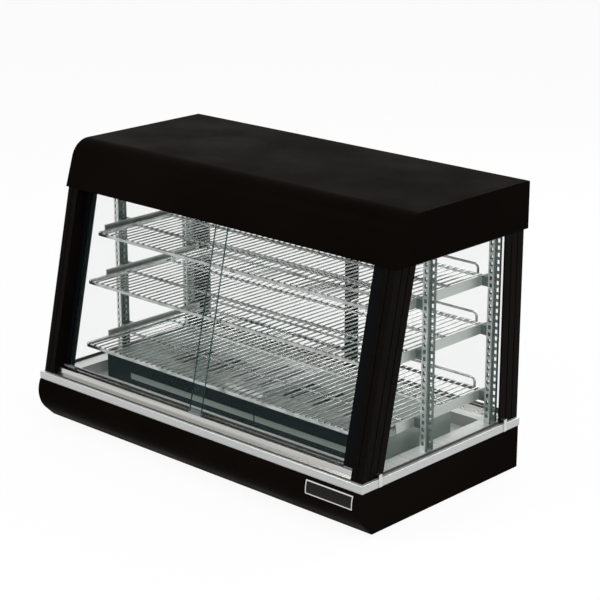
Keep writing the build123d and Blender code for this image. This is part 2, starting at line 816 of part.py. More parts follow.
for side, name in ((-1, "left"), (1, "right")):
    with BuildPart() as canopy_end:
        with BuildSketch(Plane.YZ.offset(side * canopy_outer)):
            with BuildLine():
                canopy_line()
                Line((depth(canopy_back), canopy_z), (depth(canopy_front), canopy_z))
            make_face()
        extrude(amount=-side * sheet)
    canopy_end.part.label = f"canopy_end_{name}"
    export_step(canopy_end.part, f"parts/canopy_end_{name}.step")

lining_half = canopy_outer - sheet - seat
lining_front = canopy_front + (lining_rise + 2 * sheet) * tan(radians(canopy_slope)) + sheet + seat
lining_back = canopy_back - sheet - seat
lamp_inset = 209.0
lamp_half = canopy_outer - lamp_inset
lamp_y = 262.0
lamp_bay_depth = 64.0
lamp_bay_height = 44.0
with BuildPart() as lining_plate:
    with BuildSketch(Plane.XY.offset(lining_z)):
        slab(-lining_half, lining_half, depth(lining_front), depth(lining_back))
    extrude(amount=sheet)
    bay_low = lamp_y - lamp_bay_depth / 2
    bay_high = lamp_y + lamp_bay_depth / 2
    with BuildSketch(Plane.XY.offset(lining_z)):
        slab(-lamp_half - sheet, lamp_half + sheet, depth(bay_low - sheet), depth(bay_high + sheet))
    extrude(amount=lamp_bay_height + sheet)
    with BuildSketch(Plane.XY.offset(lining_z)):
        slab(-lamp_half, lamp_half, depth(bay_low), depth(bay_high))
    extrude(amount=lamp_bay_height, mode=Mode.SUBTRACT)
lining_plate.part.label = "lining_plate"
export_step(lining_plate.part, "parts/lining_plate.step")

lamp_diameter = 26.0
cap_length = 22.0
cap_bore = 6.0
socket_width = 34.0
socket_height = 36.0
socket_corner = 5.0
lamp_z = lining_z + 0.5 * lamp_bay_height
with BuildPart() as lamp_sockets:
    for side in (-1, 1):
        with BuildSketch(Plane.YZ.offset(side * lamp_half)):
            with Locations((depth(lamp_y), lamp_z)):
                RectangleRounded(socket_width, socket_height, socket_corner)
        extrude(amount=-side * cap_length)
        with BuildSketch(Plane.YZ.offset(side * (lamp_half - cap_length))):
            with Locations((depth(lamp_y), lamp_z)):
                Circle(lamp_diameter / 2 + seat)
        extrude(amount=side * cap_bore, mode=Mode.SUBTRACT)
lamp_sockets.part.label = "lamp_sockets"
export_step(lamp_sockets.part, "parts/lamp_sockets.step")

lamp_reach = lamp_half - cap_length + cap_bore - seat
with BuildPart() as lamp_tube:
    with BuildSketch(Plane.YZ.offset(-lamp_reach)):
        with Locations((depth(lamp_y), lamp_z)):
            Circle(lamp_diameter / 2)
    extrude(amount=2 * lamp_reach)
lamp_tube.part.label = "lamp_tube"
export_step(lamp_tube.part, "parts/lamp_tube.step")

# Thermostat on the back panel: body and shaft inside, knob outside
thermostat_size = 40.0
thermostat_depth = 26.0
shaft_reach = knob_gap + 12.0
bore_depth = 13.0
with BuildPart() as thermostat_body:
    with BuildSketch(facing_back(depth(panel_back - sheet))):
        with Locations((-knob_x, control_z)):
            Rectangle(thermostat_size, thermostat_size)
    extrude(amount=-thermostat_depth)
    with BuildSketch(facing_back(depth(panel_back - sheet))):
        with Locations((-knob_x, control_z)):
            Circle(shaft_diameter / 2)
    extrude(amount=sheet + shaft_reach)
thermostat_body.part.label = "thermostat_body"
export_step(thermostat_body.part, "parts/thermostat_body.step")

knob_skirt = 5.0
knob_grip = 30.0
pointer_width = 3.0
pointer_depth = 1.0
notch_count = 16
notch_radius = 1.6
with BuildPart() as thermostat_knob:
    with BuildSketch(facing_back(depth(panel_back + knob_gap))):
        with Locations((-knob_x, control_z)):
            Circle(knob_diameter / 2)
    extrude(amount=knob_skirt)
    with BuildSketch(facing_back(depth(panel_back + knob_gap + knob_skirt))):
        with Locations((-knob_x, control_z)):
            Circle(knob_grip / 2)
            with PolarLocations(knob_grip / 2, notch_count):
                Circle(notch_radius, mode=Mode.SUBTRACT)
    extrude(amount=knob_height - knob_skirt)
    with BuildSketch(facing_back(depth(panel_back + knob_gap))):
        with Locations((-knob_x, control_z)):
            Circle(shaft_diameter / 2 + running_fit)
    extrude(amount=bore_depth, mode=Mode.SUBTRACT)
    with BuildSketch(facing_back(depth(panel_back + knob_gap + knob_height))):
        with Locations((-knob_x, control_z + knob_grip / 4)):
            Rectangle(pointer_width, knob_grip / 3)
    extrude(amount=-pointer_depth, mode=Mode.SUBTRACT)
thermostat_knob.part.label = "thermostat_knob"
export_step(thermostat_knob.part, "parts/thermostat_knob.step")

# Two rocker switches: bezel and body in the panel, rocker on a cross pin
bezel_over = 2.0
bezel_thick = 2.0
bezel_corner = 2.0
switch_depth = 22.0
rocker_width = 15.0
rocker_half = 12.0
rocker_well_half = rocker_half + 1.0
rocker_well_depth = 8.0
rocker_tilt = 12.0
rocker_crown = 5.0
rocker_edge = 3.0
rocker_root = 2.0
pin_diameter = 3.0
pin_length = 2.0
pivot_y = depth(panel_back)
body_width = switch_width - 2 * seat
body_height = switch_height - 2 * seat
with BuildPart() as switch_housings:
    for x in switch_x:
        with BuildSketch(facing_back(depth(panel_back))):
            with Locations((-x, control_z)):
                RectangleRounded(switch_width + 2 * bezel_over, switch_height + 2 * bezel_over, bezel_corner)
        extrude(amount=bezel_thick)
        with BuildSketch(facing_back(depth(panel_back))):
            with Locations((-x, control_z)):
                Rectangle(body_width, body_height)
        extrude(amount=-switch_depth)
        with BuildSketch(facing_back(depth(panel_back) + bezel_thick)):
            with Locations((-x, control_z)):
                Rectangle(rocker_width + 2 * seat, 2 * rocker_well_half)
        extrude(amount=-bezel_thick - rocker_well_depth, mode=Mode.SUBTRACT)
        with BuildSketch(Plane.YZ.offset(x - body_width / 2)):
            with Locations((pivot_y, control_z)):
                Circle(pin_diameter / 2 + running_fit)
        extrude(amount=body_width, mode=Mode.SUBTRACT)
switch_housings.part.label = "switch_housings"
export_step(switch_housings.part, "parts/switch_housings.step")

for x, name in zip(switch_x, switch_names):
    rocker_plane = Plane(
        origin=(x - rocker_width / 2, pivot_y, control_z),
        x_dir=(0, cos(radians(rocker_tilt)), sin(radians(rocker_tilt))),
        z_dir=(1, 0, 0),
    )
    with BuildPart() as rocker:
        with BuildSketch(rocker_plane):
            with BuildLine():
                Polyline(
                    (-rocker_root, -rocker_half),
                    (rocker_edge, -rocker_half),
                    (rocker_crown, 0),
                    (rocker_edge, rocker_half),
                    (-rocker_root, rocker_half),
                    close=True,
                )
            make_face()
        extrude(amount=rocker_width)
        with BuildSketch(Plane.YZ.offset(x - rocker_width / 2 - pin_length)):
            with Locations((pivot_y, control_z)):
                Circle(pin_diameter / 2)
        extrude(amount=rocker_width + 2 * pin_length)
    rocker.part.label = name
    export_step(rocker.part, f"parts/{name}.step")

# Bush where the supply lead enters; the lead itself is not part of the case
gland_flange = 26.0
gland_reach = 8.0
gland_bore = 9.0
gland_tail = 6.0
with BuildPart() as cord_gland:
    with BuildSketch(facing_back(depth(panel_back))):
        with Locations((-gland_x, control_z)):
            RegularPolygon(gland_flange / 2, 6)
    extrude(amount=gland_reach)
    with BuildSketch(facing_back(depth(panel_back - sheet - gland_tail))):
        with Locations((-gland_x, control_z)):
            Circle(gland_diameter / 2 - seat / 2)
    extrude(amount=sheet + gland_tail)
    with BuildSketch(facing_back(depth(panel_back) + gland_reach)):
        with Locations((-gland_x, control_z)):
            Circle(gland_bore / 2)
    extrude(amount=-gland_reach - sheet - gland_tail, mode=Mode.SUBTRACT)
cord_gland.part.label = "cord_gland"
export_step(cord_gland.part, "parts/cord_gland.step")
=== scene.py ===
import math

import bpy
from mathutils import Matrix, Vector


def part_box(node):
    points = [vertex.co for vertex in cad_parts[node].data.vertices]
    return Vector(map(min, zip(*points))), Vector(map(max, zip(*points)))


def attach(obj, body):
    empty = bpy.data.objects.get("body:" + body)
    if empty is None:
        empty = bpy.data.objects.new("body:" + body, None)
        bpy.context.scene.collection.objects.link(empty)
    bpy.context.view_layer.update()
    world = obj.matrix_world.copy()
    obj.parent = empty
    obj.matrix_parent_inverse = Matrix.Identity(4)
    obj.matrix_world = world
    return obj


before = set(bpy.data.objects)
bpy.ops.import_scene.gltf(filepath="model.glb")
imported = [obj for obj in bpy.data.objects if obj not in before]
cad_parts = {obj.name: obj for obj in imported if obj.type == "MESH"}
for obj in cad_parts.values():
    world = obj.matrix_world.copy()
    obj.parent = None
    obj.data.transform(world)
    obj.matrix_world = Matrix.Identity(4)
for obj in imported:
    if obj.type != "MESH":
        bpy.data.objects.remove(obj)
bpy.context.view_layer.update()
bpy.ops.object.select_all(action="DESELECT")

# Base shell: four panels of folded sheet steel with a baked satin black enamel.
# The front one is rolled to a nose; the back one carries the controls.


def new_finish(name, colour, roughness, metallic=0.0):
    """A material with its Principled shader set, ready for texture nodes."""
    made = bpy.data.materials.new(name)
    made.use_nodes = True
    shader = made.node_tree.nodes["Principled BSDF"]
    shader.inputs["Base Color"].default_value = (*colour, 1.0)
    shader.inputs["Roughness"].default_value = roughness
    shader.inputs["Metallic"].default_value = metallic
    return made, shader


def grain(material, stretch, detail=3.0):
    """Noise over the piece's own place, stretched by the given counts per metre."""
    nodes, links = material.node_tree.nodes, material.node_tree.links
    place = nodes.new("ShaderNodeTexCoord")
    mapping = nodes.new("ShaderNodeMapping")
    mapping.inputs["Scale"].default_value = stretch
    noise = nodes.new("ShaderNodeTexNoise")
    noise.inputs["Scale"].default_value = 1.0
    noise.inputs["Detail"].default_value = detail
    links.new(place.outputs["Object"], mapping.inputs["Vector"])
    links.new(mapping.outputs["Vector"], noise.inputs["Vector"])
    return noise.outputs["Fac"]


def vary_roughness(material, shader, source, low, high):
    """Roughness that wanders between two values with a texture."""
    nodes, links = material.node_tree.nodes, material.node_tree.links
    spread = nodes.new("ShaderNodeMapRange")
    spread.inputs["From Min"].default_value = 0.3
    spread.inputs["From Max"].default_value = 0.7
    spread.inputs["To Min"].default_value = low
    spread.inputs["To Max"].default_value = high
    links.new(source, spread.inputs["Value"])
    links.new(spread.outputs["Result"], shader.inputs["Roughness"])


def vary_colour(material, shader, source, first, second, start=0.35, stop=0.65):
    """Colour that moves from one tone to another as a texture rises; returns the ramp."""
    nodes, links = material.node_tree.nodes, material.node_tree.links
    ramp = nodes.new("ShaderNodeValToRGB")
    ramp.color_ramp.elements[0].position = start
    ramp.color_ramp.elements[0].color = (*first, 1.0)
    ramp.color_ramp.elements[1].position = stop
    ramp.color_ramp.elements[1].color = (*second, 1.0)
    links.new(source, ramp.inputs["Fac"])
    links.new(ramp.outputs["Color"], shader.inputs["Base Color"])
    return ramp


def relief(material, shader, source, height, strength=0.5):
    """Fine surface relief of the given height in metres."""
    nodes, links = material.node_tree.nodes, material.node_tree.links
    bump = nodes.new("ShaderNodeBump")
    bump.inputs["Strength"].default_value = strength
    bump.inputs["Distance"].default_value = height
    links.new(source, bump.inputs["Height"])
    links.new(bump.outputs["Normal"], shader.inputs["Normal"])


def dress(material, *names):
    """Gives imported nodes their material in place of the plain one."""
    for name in names:
        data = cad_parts[name].data
        data.materials.clear()
        data.materials.append(material)


enamel_gloss = 0.0025
enamel, enamel_shader = new_finish("black_enamel", (0.003, 0.0022, 0.0016), 0.4)
enamel_shader.inputs["Specular IOR Level"].default_value = enamel_gloss
vary_colour(
    enamel,
    enamel_shader,
    grain(enamel, (3, 3, 3)),
    (0.0024, 0.0017, 0.0012),
    (0.0038, 0.0028, 0.0021),
)
vary_roughness(enamel, enamel_shader, grain(enamel, (9, 9, 9), 5.0), 0.34, 0.48)
relief(enamel, enamel_shader, grain(enamel, (420, 420, 420), 2.0), 0.00004, 0.25)
dress(enamel, "base_front_panel", "base_end_left", "base_end_right", "base_rear_panel")

# Bottom plate and feet: a galvanised sheet, dull and spangled, on four rubber feet
# that are moulded with a fine grain and pick up dust at the edges.
galvanised, galvanised_shader = new_finish("galvanised_sheet", (0.38, 0.41, 0.4), 0.42, 0.75)
vary_colour(
    galvanised,
    galvanised_shader,
    grain(galvanised, (55, 55, 55), 4.0),
    (0.27, 0.3, 0.29),
    (0.43, 0.46, 0.45),
)
vary_roughness(galvanised, galvanised_shader, grain(galvanised, (120, 120, 120)), 0.36, 0.52)
relief(galvanised, galvanised_shader, grain(galvanised, (260, 260, 260)), 0.00005, 0.3)
dress(galvanised, "base_bottom_plate")

foot_rubber, foot_shader = new_finish("foot_rubber", (0.02, 0.02, 0.02), 0.75)
vary_colour(
    foot_rubber,
    foot_shader,
    grain(foot_rubber, (60, 60, 60)),
    (0.016, 0.016, 0.016),
    (0.032, 0.031, 0.03),
)
relief(foot_rubber, foot_shader, grain(foot_rubber, (700, 700, 700)), 0.0001, 0.4)
dress(foot_rubber, "feet")

# Nameplate: a thin plate curved to the nose, blank, dark in the middle with a bright
# rim, held by its adhesive back.


def coordinate(material, axis):
    """The piece's own place along one axis, in metres."""
    nodes, links = material.node_tree.nodes, material.node_tree.links
    place = nodes.new("ShaderNodeTexCoord")
    split = nodes.new("ShaderNodeSeparateXYZ")
    links.new(place.outputs["Object"], split.inputs["Vector"])
    return split.outputs[axis]


def calculate(material, operation, *terms):
    """One arithmetic step on sockets or numbers."""
    nodes, links = material.node_tree.nodes, material.node_tree.links
    step = nodes.new("ShaderNodeMath")
    step.operation = operation
    for k, term in enumerate(terms):
        if isinstance(term, (int, float)):
            step.inputs[k].default_value = term
        else:
            links.new(term, step.inputs[k])
    return step.outputs["Value"]


def past(material, axis, edge, blur=0.0003):
    """0 before a place along one axis and 1 beyond it."""
    nodes, links = material.node_tree.nodes, material.node_tree.links
    spread = nodes.new("ShaderNodeMapRange")
    spread.inputs["From Min"].default_value = edge - blur
    spread.inputs["From Max"].default_value = edge + blur
    links.new(coordinate(material, axis), spread.inputs["Value"])
    return spread.outputs["Result"]


def between(material, axis, low, high):
    """1 inside a stretch along one axis and 0 outside it."""
    return calculate(material, "SUBTRACT", past(material, axis, low), past(material, axis, high))


badge_low, badge_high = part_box("badge_plate")
badge_rim = 0.0022
badge_gloss = 0.12
nameplate, nameplate_shader = new_finish("nameplate", (0.03, 0.03, 0.03), 0.3)
nameplate_shader.inputs["Specular IOR Level"].default_value = badge_gloss
field = calculate(
    nameplate,
    "MULTIPLY",
    between(nameplate, "X", badge_low.x + badge_rim, badge_high.x - badge_rim),
    between(nameplate, "Z", badge_low.z + badge_rim, badge_high.z - badge_rim),
)
vary_colour(nameplate, nameplate_shader, field, (0.62, 0.62, 0.61), (0.005, 0.0045, 0.004))
vary_roughness(nameplate, nameplate_shader, grain(nameplate, (30, 30, 30)), 0.22, 0.34)
bare_rim = calculate(nameplate, "SUBTRACT", 1.0, field)
nameplate.node_tree.links.new(bare_rim, nameplate_shader.inputs["Metallic"])
relief(nameplate, nameplate_shader, bare_rim, 0.0004, 0.8)
dress(nameplate, "badge_plate")

# Deck: one stainless pan whose turned-down rim is the bright band round the case, with
# small clips over the band at the posts. Brushed along the sheet and faintly streaked.


def brushed(name, dark, light, stretch, low, high):
    """Stainless sheet with long fine brush lines."""
    made, shader = new_finish(name, light, low, 1.0)
    lines = grain(made, stretch, 4.0)
    vary_colour(made, shader, lines, dark, light, 0.3, 0.7)
    vary_roughness(made, shader, grain(made, tuple(0.5 * s for s in stretch), 2.0), low, high)
    relief(made, shader, lines, 0.00003, 0.35)
    return made


def facing(material, axis):
    """The way the surface faces along one axis, from -1 to 1."""
    nodes, links = material.node_tree.nodes, material.node_tree.links
    surface = nodes.new("ShaderNodeNewGeometry")
    split = nodes.new("ShaderNodeSeparateXYZ")
    links.new(surface.outputs["True Normal"], split.inputs["Vector"])
    return split.outputs[axis]


deck_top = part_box("deck_pan")[1].z
rim_fold = 0.0015
rim_level = deck_top - rim_fold
painted_top_light_share = 0.8
line_share = 0.3
well_metal = 0.2
rim_metal = 0.5
deck_steel, deck_shader = new_finish("deck_steel", (0.6, 0.61, 0.6), 0.32, 0.7)
deck_lines = grain(deck_steel, (5, 900, 900), 4.0)
# Painted light: faces that look up are painted lighter and faces that look down darker, mixed with
# the brush lines.
painted_top_light_and_lines = calculate(
    deck_steel,
    "ADD",
    calculate(deck_steel, "MULTIPLY", facing(deck_steel, "Z"), painted_top_light_share),
    calculate(deck_steel, "MULTIPLY", deck_lines, line_share),
)
vary_colour(deck_steel, deck_shader, painted_top_light_and_lines, (0.36, 0.375, 0.37), (0.8, 0.82, 0.8), 0.0, 1.0)
vary_roughness(deck_steel, deck_shader, grain(deck_steel, (3, 450, 450), 2.0), 0.26, 0.4)
relief(deck_steel, deck_shader, deck_lines, 0.00003, 0.35)
on_rim = calculate(deck_steel, "MULTIPLY", past(deck_steel, "Z", rim_level), rim_metal)
deck_metal = calculate(deck_steel, "ADD", well_metal, on_rim)
deck_steel.node_tree.links.new(deck_metal, deck_shader.inputs["Metallic"])
dress(deck_steel, "deck_pan")
clip_steel = brushed("clip_steel", (0.5, 0.5, 0.5), (0.72, 0.72, 0.7), (900, 30, 900), 0.25, 0.35)
dress(clip_steel, "band_clips")

# Corner posts: black anodised aluminium extrusions, with draw lines that run up the post
# and a cool sheen on the grooved faces.
anodised_gloss = 0.015
anodised, anodised_shader = new_finish("black_anodised", (0.005, 0.0045, 0.004), 0.3)
anodised_shader.inputs["Specular IOR Level"].default_value = anodised_gloss
draw_lines = grain(anodised, (900, 900, 4), 3.0)
vary_colour(
    anodised,
    anodised_shader,
    draw_lines,
    (0.002, 0.0016, 0.0014),
    (0.0045, 0.0034, 0.0028),
)
vary_roughness(anodised, anodised_shader, draw_lines, 0.24, 0.38)
relief(anodised, anodised_shader, draw_lines, 0.00003, 0.3)
dress(anodised, "post_front_left", "post_front_right", "post_rear_left", "post_rear_right")

# End glass: one clear tempered sheet at each end, its ground edges deep green. The faces
# stay clear, with a faint film and a sheen where they are seen from the side.
lean_allowance = 0.15
rim_gain = 3.5
rim_share = 0.92
clear_share = 0.015
film_share = 0.02
sheen_share = 0.5
glass_index = 1.5


def clear_sheet(name, thin_axis):
    """Clear tempered glass whose edges, across the thin axis, are dark green."""
    made, shader = new_finish(name, (0.1, 0.17, 0.15), 0.03)
    nodes, links = made.node_tree.nodes, made.node_tree.links
    shader.inputs["IOR"].default_value = glass_index
    rim = calculate(made, "SUBTRACT", 1.0, calculate(made, "ABSOLUTE", facing(made, thin_axis)))
    rim = calculate(made, "MULTIPLY", calculate(made, "SUBTRACT", rim, lean_allowance), rim_gain)
    rim = calculate(made, "MAXIMUM", calculate(made, "MINIMUM", rim, 1.0), 0.0)
    vary_colour(made, shader, rim, (0.1, 0.17, 0.15), (0.012, 0.05, 0.045), 0.2, 0.9)
    edge_on = nodes.new("ShaderNodeLayerWeight")
    edge_on.inputs["Blend"].default_value = 0.5
    sheen = calculate(made, "POWER", edge_on.outputs["Facing"], 4.0)
    film = grain(made, (7, 7, 7), 4.0)
    body = calculate(made, "ADD", clear_share, calculate(made, "MULTIPLY", film, film_share))
    body = calculate(made, "ADD", body, calculate(made, "MULTIPLY", sheen, sheen_share))
    cover = calculate(made, "MAXIMUM", body, calculate(made, "MULTIPLY", rim, rim_share))
    links.new(cover, shader.inputs["Alpha"])
    vary_roughness(made, shader, film, 0.015, 0.05)
    return made


end_sheet = clear_sheet("end_glass", "X")
dress(end_sheet, "end_glass_left", "end_glass_right")

# Glazing beads: black rubber strips pressed in along the foot and the head of each end
# glass, between the posts.
glass_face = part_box("end_glass_right")[1].x
canopy_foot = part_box("canopy_shell")[0].z
front_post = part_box("post_front_right")[0].y
rear_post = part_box("post_rear_right")[0].y
bead_section = 0.0036
bead_rise = 0.0042
bead_clear = 0.0001
bead_gap = 0.0005
bead_round = 0.0012
foot_reach = 0.0591
head_reach = 0.1431
foot_level = deck_top + bead_clear
head_level = canopy_foot - bead_clear - bead_rise
smooth_angle = math.radians(40)
bead_rubber, bead_shader = new_finish("bead_rubber", (0.012, 0.012, 0.012), 0.55)
vary_roughness(bead_rubber, bead_shader, grain(bead_rubber, (400, 40, 400)), 0.45, 0.65)
relief(bead_rubber, bead_shader, grain(bead_rubber, (900, 900, 900)), 0.00006, 0.3)


def block(name, low, high, round_edges):
    """A box between two corners with its long edges rounded, its place in its mesh."""
    bpy.ops.mesh.primitive_cube_add(size=1.0, location=[(a + b) / 2 for a, b in zip(low, high)])
    made = bpy.context.object
    made.name = name
    made.scale = [b - a for a, b in zip(low, high)]
    bpy.ops.object.transform_apply(location=True, rotation=True, scale=True)
    bpy.ops.object.mode_set(mode="EDIT")
    bpy.ops.mesh.select_all(action="SELECT")
    bpy.ops.mesh.bevel(offset=round_edges, segments=3, affect="EDGES")
    bpy.ops.object.mode_set(mode="OBJECT")
    bpy.ops.object.shade_smooth_by_angle(angle=smooth_angle)
    return made


for side, name in ((-1, "left"), (1, "right")):
    x_pair = sorted((side * glass_face, side * (glass_face + bead_section)))
    foot_bead = block(
        f"glazing_bead_{name}",
        (x_pair[0], front_post + foot_reach, foot_level),
        (x_pair[1], rear_post - bead_gap, foot_level + bead_rise),
        bead_round,
    )
    head_bead = block(
        f"glazing_bead_head_{name}",
        (x_pair[0], front_post + head_reach, head_level),
        (x_pair[1], rear_post - bead_gap, head_level + bead_rise),
        bead_round,
    )
    bpy.ops.object.select_all(action="DESELECT")
    head_bead.select_set(True)
    foot_bead.select_set(True)
    bpy.context.view_layer.objects.active = foot_bead
    bpy.ops.object.join()
    foot_bead.data.materials.append(bead_rubber)
    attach(foot_bead, "case")
    bpy.ops.object.select_all(action="DESELECT")

# Tracks: bright rolled stainless sills and heads that the panes slide in, drawn
# lengthwise, with a black rubber bead along the foot of the front sill.
track_steel = brushed(
    "track_steel",
    (0.4, 0.4, 0.385),
    (0.6, 0.595, 0.57),
    (3, 1200, 1200),
    0.12,
    0.24,
)
dress(track_steel, "front_sill_track", "rear_sill_track", "front_top_track", "rear_top_track")
track_low, track_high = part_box("front_sill_track")
sill_bead_inset = 0.0003
sill_bead_reach = 0.002
sill_bead_gap = 0.0002
sill_bead_foot = 0.00005
sill_bead_rise = 0.0021
sill_bead_round = 0.0007
sill_bead = block(
    "sill_bead",
    (track_low.x + sill_bead_inset, track_low.y - sill_bead_reach, deck_top + sill_bead_foot),
    (track_high.x - sill_bead_inset, track_low.y - sill_bead_gap, deck_top + sill_bead_rise),
    sill_bead_round,
)
sill_bead.data.materials.append(bead_rubber)
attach(sill_bead, "case")
bpy.ops.object.select_all(action="DESELECT")

# Sliding panes: clear tempered glass, each with a black pull profile pressed on one
# upright edge and two pale nylon shoes that run in the sill.
door_sheet = clear_sheet("door_glass", "Y")
doors = ("front_door_left", "front_door_right", "rear_door_left", "rear_door_right")
dress(door_sheet, *[f"{door}_glass" for door in doors])

shoe_height = 0.0125
shoe_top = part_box("front_door_left_handle")[0].z + shoe_height
pull_gloss = 0.02
pull_plastic, pull_shader = new_finish("pull_plastic", (0.005, 0.006, 0.008), 0.4)
pull_shader.inputs["Specular IOR Level"].default_value = pull_gloss
vary_colour(
    pull_plastic,
    pull_shader,
    past(pull_plastic, "Z", shoe_top),
    (0.2, 0.22, 0.22),
    (0.0024, 0.0027, 0.0034),
)
vary_roughness(pull_plastic, pull_shader, grain(pull_plastic, (200, 200, 20)), 0.32, 0.48)
relief(pull_plastic, pull_shader, grain(pull_plastic, (1000, 1000, 1000)), 0.00005, 0.3)
dress(pull_plastic, *[f"{door}_handle" for door in doors])

# Pilasters: galvanised channels punched with hanging slots, upright inside the ends. Their
# fronts are bright and their sides fall into shade.
pilaster_zinc, pilaster_shader = new_finish("pilaster_zinc", (0.24, 0.28, 0.27), 0.4, 0.85)
side_share = 0.7
spangle_share = 0.35
sideways = calculate(pilaster_zinc, "ABSOLUTE", facing(pilaster_zinc, "X"))
sideways = calculate(pilaster_zinc, "MULTIPLY", sideways, side_share)
spangle = grain(pilaster_zinc, (70, 70, 24), 4.0)
spangle = calculate(pilaster_zinc, "MULTIPLY", spangle, spangle_share)
shade = calculate(pilaster_zinc, "ADD", sideways, spangle)
vary_colour(pilaster_zinc, pilaster_shader, shade, (0.6, 0.63, 0.6), (0.07, 0.1, 0.1), 0.1, 0.95)
vary_roughness(pilaster_zinc, pilaster_shader, grain(pilaster_zinc, (150, 150, 150)), 0.36, 0.54)
relief(pilaster_zinc, pilaster_shader, grain(pilaster_zinc, (300, 300, 300)), 0.00005, 0.3)
dress(
    pilaster_zinc,
    *[f"pilaster_{row}_{side}" for row in ("front", "rear") for side in ("left", "right")],
)

# Shelves: welded wire grids and their raised back stops, bright chrome plate, a little
# duller where trays have rubbed the wires.
levels = ("top", "middle", "bottom")
chrome, chrome_shader = new_finish("chrome_wire", (0.72, 0.73, 0.72), 0.12, 1.0)
vary_colour(
    chrome,
    chrome_shader,
    grain(chrome, (40, 40, 40)),
    (0.34, 0.36, 0.35),
    (0.56, 0.58, 0.57),
)
vary_roughness(chrome, chrome_shader, grain(chrome, (25, 90, 25), 4.0), 0.08, 0.24)
relief(chrome, chrome_shader, grain(chrome, (500, 500, 500)), 0.00003, 0.2)
dress(chrome, *[f"shelf_{level}" for level in levels], *[f"shelf_stop_{level}" for level in levels])

# Shelf brackets: folded zinc-plated arms, one at each end of each shelf, with hook blocks
# that reach into the pilaster slots and are painted dark there as painted shade.
hook_length = 0.0142
hook_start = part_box("shelf_bracket_top_right")[1].x - hook_length
arm_zinc, arm_shader = new_finish("bracket_zinc", (0.6, 0.62, 0.6), 0.35, 0.8)
outward = calculate(arm_zinc, "ABSOLUTE", coordinate(arm_zinc, "X"))
hook_slot_shade = calculate(arm_zinc, "GREATER_THAN", outward, hook_start)
# Painted shade: the hook blocks, where they sit in the pilaster slots, are painted dark.
vary_colour(arm_zinc, arm_shader, hook_slot_shade, (0.5, 0.53, 0.51), (0.12, 0.15, 0.145))
vary_roughness(arm_zinc, arm_shader, grain(arm_zinc, (200, 8, 200)), 0.28, 0.44)
relief(arm_zinc, arm_shader, grain(arm_zinc, (400, 60, 400)), 0.00004, 0.3)
dress(
    arm_zinc,
    *[f"shelf_bracket_{level}_{side}" for level in levels for side in ("left", "right")],
)

# Heater cover: a folded steel box over the elements. Its walls are painted dark blue-grey as
# painted shade, its top and ends stay paler, and two pale strips lie along its front.
cover_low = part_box("heater_cover")[0]
strip_proud = 0.0007
strip_face = cover_low.y + strip_proud
heat_gloss = 0.1
wall_shade_share = 0.85
cloud_share = 0.3
heat_steel, heat_shader = new_finish("heater_steel_wall_shade", (0.03, 0.05, 0.055), 0.38, 0.6)
heat_shader.inputs["Specular IOR Level"].default_value = heat_gloss
on_wall = calculate(heat_steel, "ABSOLUTE", facing(heat_steel, "Y"))
proud = calculate(heat_steel, "SUBTRACT", 1.0, past(heat_steel, "Y", strip_face))
# Painted shade: the walls that face front and back are painted dark blue-grey, apart from the proud
# strips.
painted_wall_shade = calculate(heat_steel, "MAXIMUM", calculate(heat_steel, "SUBTRACT", on_wall, proud), 0.0)
clouds = calculate(heat_steel, "MULTIPLY", grain(heat_steel, (5, 9, 9), 5.0), cloud_share)
wall_shade_and_clouds = calculate(heat_steel, "ADD", calculate(heat_steel, "MULTIPLY", painted_wall_shade, wall_shade_share), clouds)
vary_colour(heat_steel, heat_shader, wall_shade_and_clouds, (0.34, 0.38, 0.36), (0.006, 0.013, 0.017), 0.1, 0.85)
vary_roughness(heat_steel, heat_shader, grain(heat_steel, (4, 300, 300)), 0.3, 0.46)
relief(heat_steel, heat_shader, grain(heat_steel, (6, 700, 700)), 0.00003, 0.35)
dress(heat_steel, "heater_cover")

# Water tray and lid: pressed stainless, the lid slotted to let the steam out, with lime
# marks near the slots. Under the cover lie two sheathed heating elements.
tray_steel = brushed(
    "tray_steel",
    (0.52, 0.53, 0.53),
    (0.74, 0.75, 0.74),
    (400, 12, 400),
    0.24,
    0.38,
)
dress(tray_steel, "water_tray")
lid_steel, lid_shader = new_finish("lid_steel", (0.62, 0.64, 0.63), 0.36, 0.7)
vary_colour(
    lid_steel,
    lid_shader,
    grain(lid_steel, (35, 35, 35), 5.0),
    (0.52, 0.55, 0.54),
    (0.68, 0.7, 0.69),
)
vary_roughness(lid_steel, lid_shader, grain(lid_steel, (90, 90, 90)), 0.3, 0.48)
relief(lid_steel, lid_shader, grain(lid_steel, (300, 20, 300)), 0.00004, 0.3)
dress(lid_steel, "tray_lid")
sheath, sheath_shader = new_finish("element_sheath", (0.12, 0.11, 0.1), 0.5, 0.9)
vary_colour(
    sheath,
    sheath_shader,
    grain(sheath, (25, 25, 25)),
    (0.07, 0.065, 0.06),
    (0.18, 0.15, 0.13),
)
relief(sheath, sheath_shader, grain(sheath, (600, 600, 600)), 0.00005, 0.3)
dress(sheath, "heating_elements")

